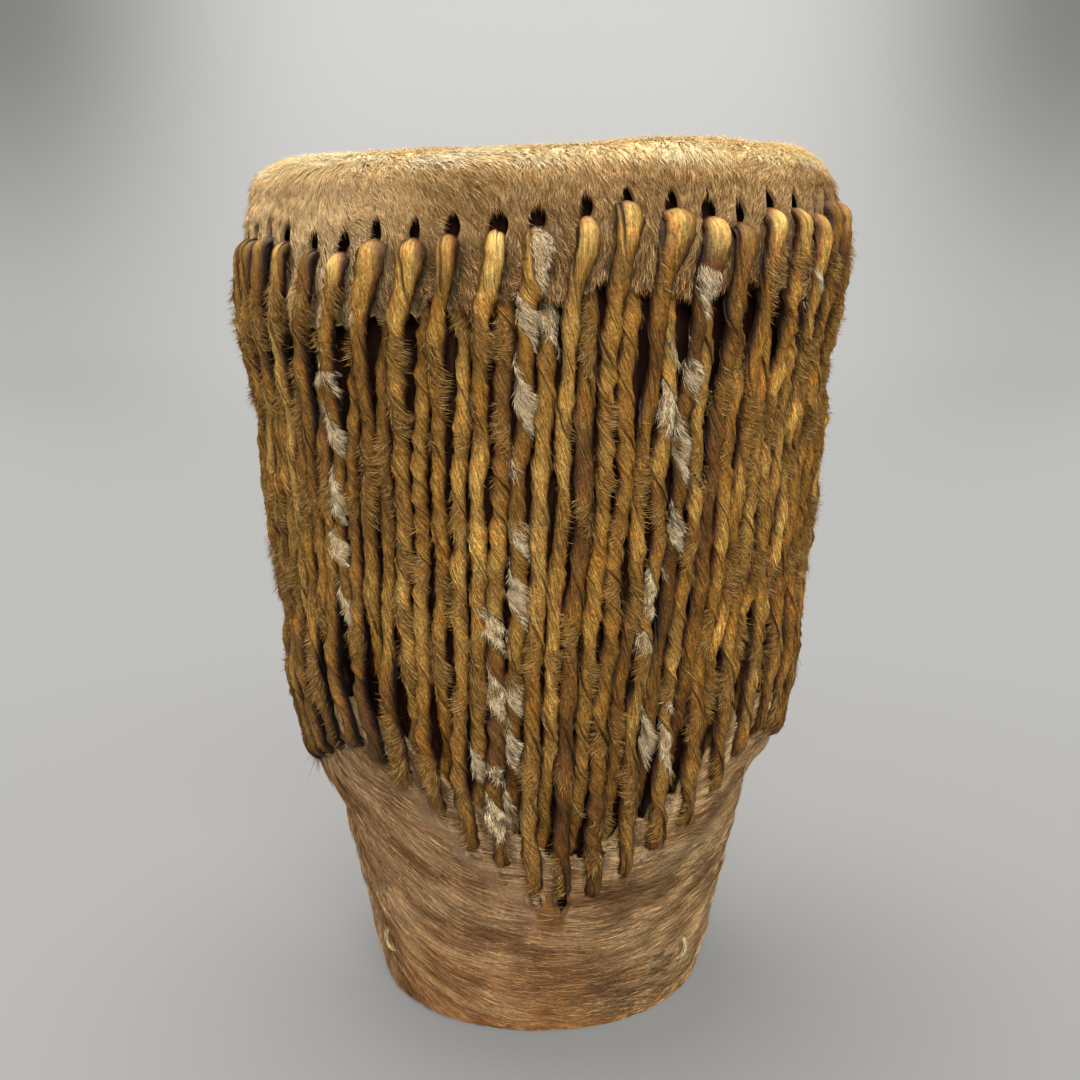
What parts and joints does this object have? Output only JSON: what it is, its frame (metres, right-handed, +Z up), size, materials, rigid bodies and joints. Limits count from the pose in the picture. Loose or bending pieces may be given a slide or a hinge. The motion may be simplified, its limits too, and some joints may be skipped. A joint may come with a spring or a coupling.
{
  "type": "hand drum",
  "caption": "Tapered hollow hand drum with a hair-on hide head and a hair-on hide base, laced together by twisted rawhide thongs.",
  "frame": {"origin": "centre of the base, on the surface the drum stands on", "axes": "+Z up the drum's axis to the head, -Y to the front where the base hide dips lowest, +X to the viewer's right"},
  "size_m": [0.1762, 0.176, 0.25],
  "materials": {
    "carved_wood": "rough carved, dry",
    "head_hide": "cowhide with short pale golden hair",
    "base_hide": "cowhide with short beige and brown hair",
    "rawhide_thong": "twisted rawhide strip with patches of hair"
  },
  "bodies": {
    "root": {"shell": "carved_wood", "head_hide": "head_hide", "bottom_hide": "base_hide", "lace_01": "rawhide_thong", "lace_02": "rawhide_thong", "lace_03": "rawhide_thong", "lace_04": "rawhide_thong", "lace_05": "rawhide_thong", "lace_06": "rawhide_thong", "lace_07": "rawhide_thong", "lace_08": "rawhide_thong", "lace_09": "rawhide_thong", "lace_10": "rawhide_thong", "base_stitch_left": "rawhide_thong", "base_stitch_right": "rawhide_thong"}
  },
  "joints": []
}
